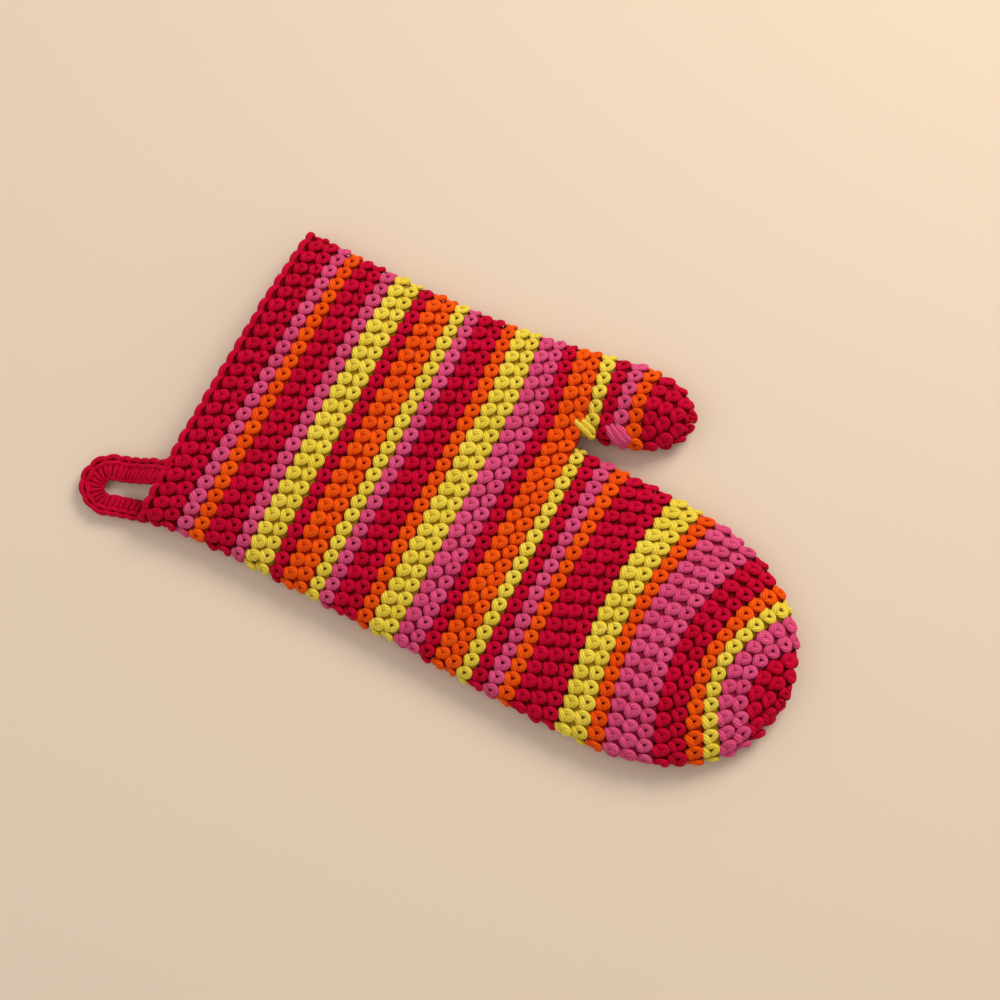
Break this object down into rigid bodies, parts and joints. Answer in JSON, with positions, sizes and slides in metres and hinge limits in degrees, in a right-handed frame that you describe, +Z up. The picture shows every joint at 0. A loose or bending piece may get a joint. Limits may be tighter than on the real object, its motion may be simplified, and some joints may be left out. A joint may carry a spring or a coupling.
{
  "type": "oven mitt",
  "caption": "Striped crocheted oven mitt lying flat, with a wide cuff, a rounded finger tube, a thumb and a hanging loop.",
  "frame": {"origin": "under the middle of the mitt's bounding box, on the surface it lies on", "axes": "+X from the cuff to the fingertips, +Y from the fingers to the thumb's side, +Z up out of the upper face"},
  "size_m": [0.3122, 0.1684, 0.0207],
  "materials": {
    "yarn_crimson": "crocheted cotton yarn, crimson",
    "yarn_pink": "crocheted cotton yarn, pink, slight sheen",
    "yarn_orange": "crocheted cotton yarn, orange",
    "yarn_yellow": "crocheted cotton yarn, yellow-green, slight sheen"
  },
  "bodies": {
    "hand": {"cuff_edging": "yarn_crimson", "hand_stripe_01_crimson": "yarn_crimson", "hand_stripe_02_pink": "yarn_pink", "hand_stripe_03_orange": "yarn_orange", "hand_stripe_04_crimson": "yarn_crimson", "hand_stripe_05_pink": "yarn_pink", "hand_stripe_06_yellow": "yarn_yellow", "hand_stripe_07_crimson": "yarn_crimson", "hand_stripe_08_orange": "yarn_orange", "hand_stripe_09_yellow": "yarn_yellow", "hand_stripe_10_pink": "yarn_pink", "hand_stripe_11_crimson": "yarn_crimson", "hand_stripe_12_orange": "yarn_orange", "hand_stripe_13_yellow": "yarn_yellow", "hand_stripe_14_pink": "yarn_pink", "hand_stripe_15_crimson": "yarn_crimson", "hand_stripe_16_orange": "yarn_orange", "crotch_darn_yellow": "yarn_yellow"},
    "fingers": {"finger_stripe_01_yellow": "yarn_yellow", "finger_stripe_02_crimson": "yarn_crimson", "finger_stripe_03_pink": "yarn_pink", "finger_stripe_04_orange": "yarn_orange", "finger_stripe_05_crimson": "yarn_crimson", "finger_stripe_06_yellow": "yarn_yellow", "finger_stripe_07_orange": "yarn_orange", "finger_stripe_08_pink": "yarn_pink", "finger_stripe_09_crimson": "yarn_crimson", "finger_stripe_10_orange": "yarn_orange", "finger_stripe_11_yellow": "yarn_yellow", "finger_stripe_12_pink": "yarn_pink", "finger_stripe_13_crimson_tip": "yarn_crimson"},
    "thumb": {"thumb_stripe_01_yellow": "yarn_yellow", "thumb_stripe_02_crimson": "yarn_crimson", "thumb_stripe_03_pink": "yarn_pink", "thumb_stripe_04_orange": "yarn_orange", "thumb_stripe_05_crimson_tip": "yarn_crimson", "crotch_darn_pink": "yarn_pink"},
    "hanging_loop": {"hanging_loop": "yarn_crimson"}
  },
  "joints": [
    {"name": "fingers_fold", "type": "hinge", "parent": "hand", "child": "fingers", "pos_m": [0.02724, -0.01844, 0.0209], "axis": [0, -1, 0], "range_deg": [0, 80]},
    {"name": "thumb_fold", "type": "hinge", "parent": "hand", "child": "thumb", "pos_m": [0.02304, 0.06066, 0.0186], "axis": [0.1994, -0.9799, 0], "range_deg": [0, 75]},
    {"name": "loop_swing", "type": "hinge", "parent": "hand", "child": "hanging_loop", "pos_m": [-0.12611, -0.06364, 0.00225], "axis": [0, 1, 0], "range_deg": [-90, 90]}
  ]
}
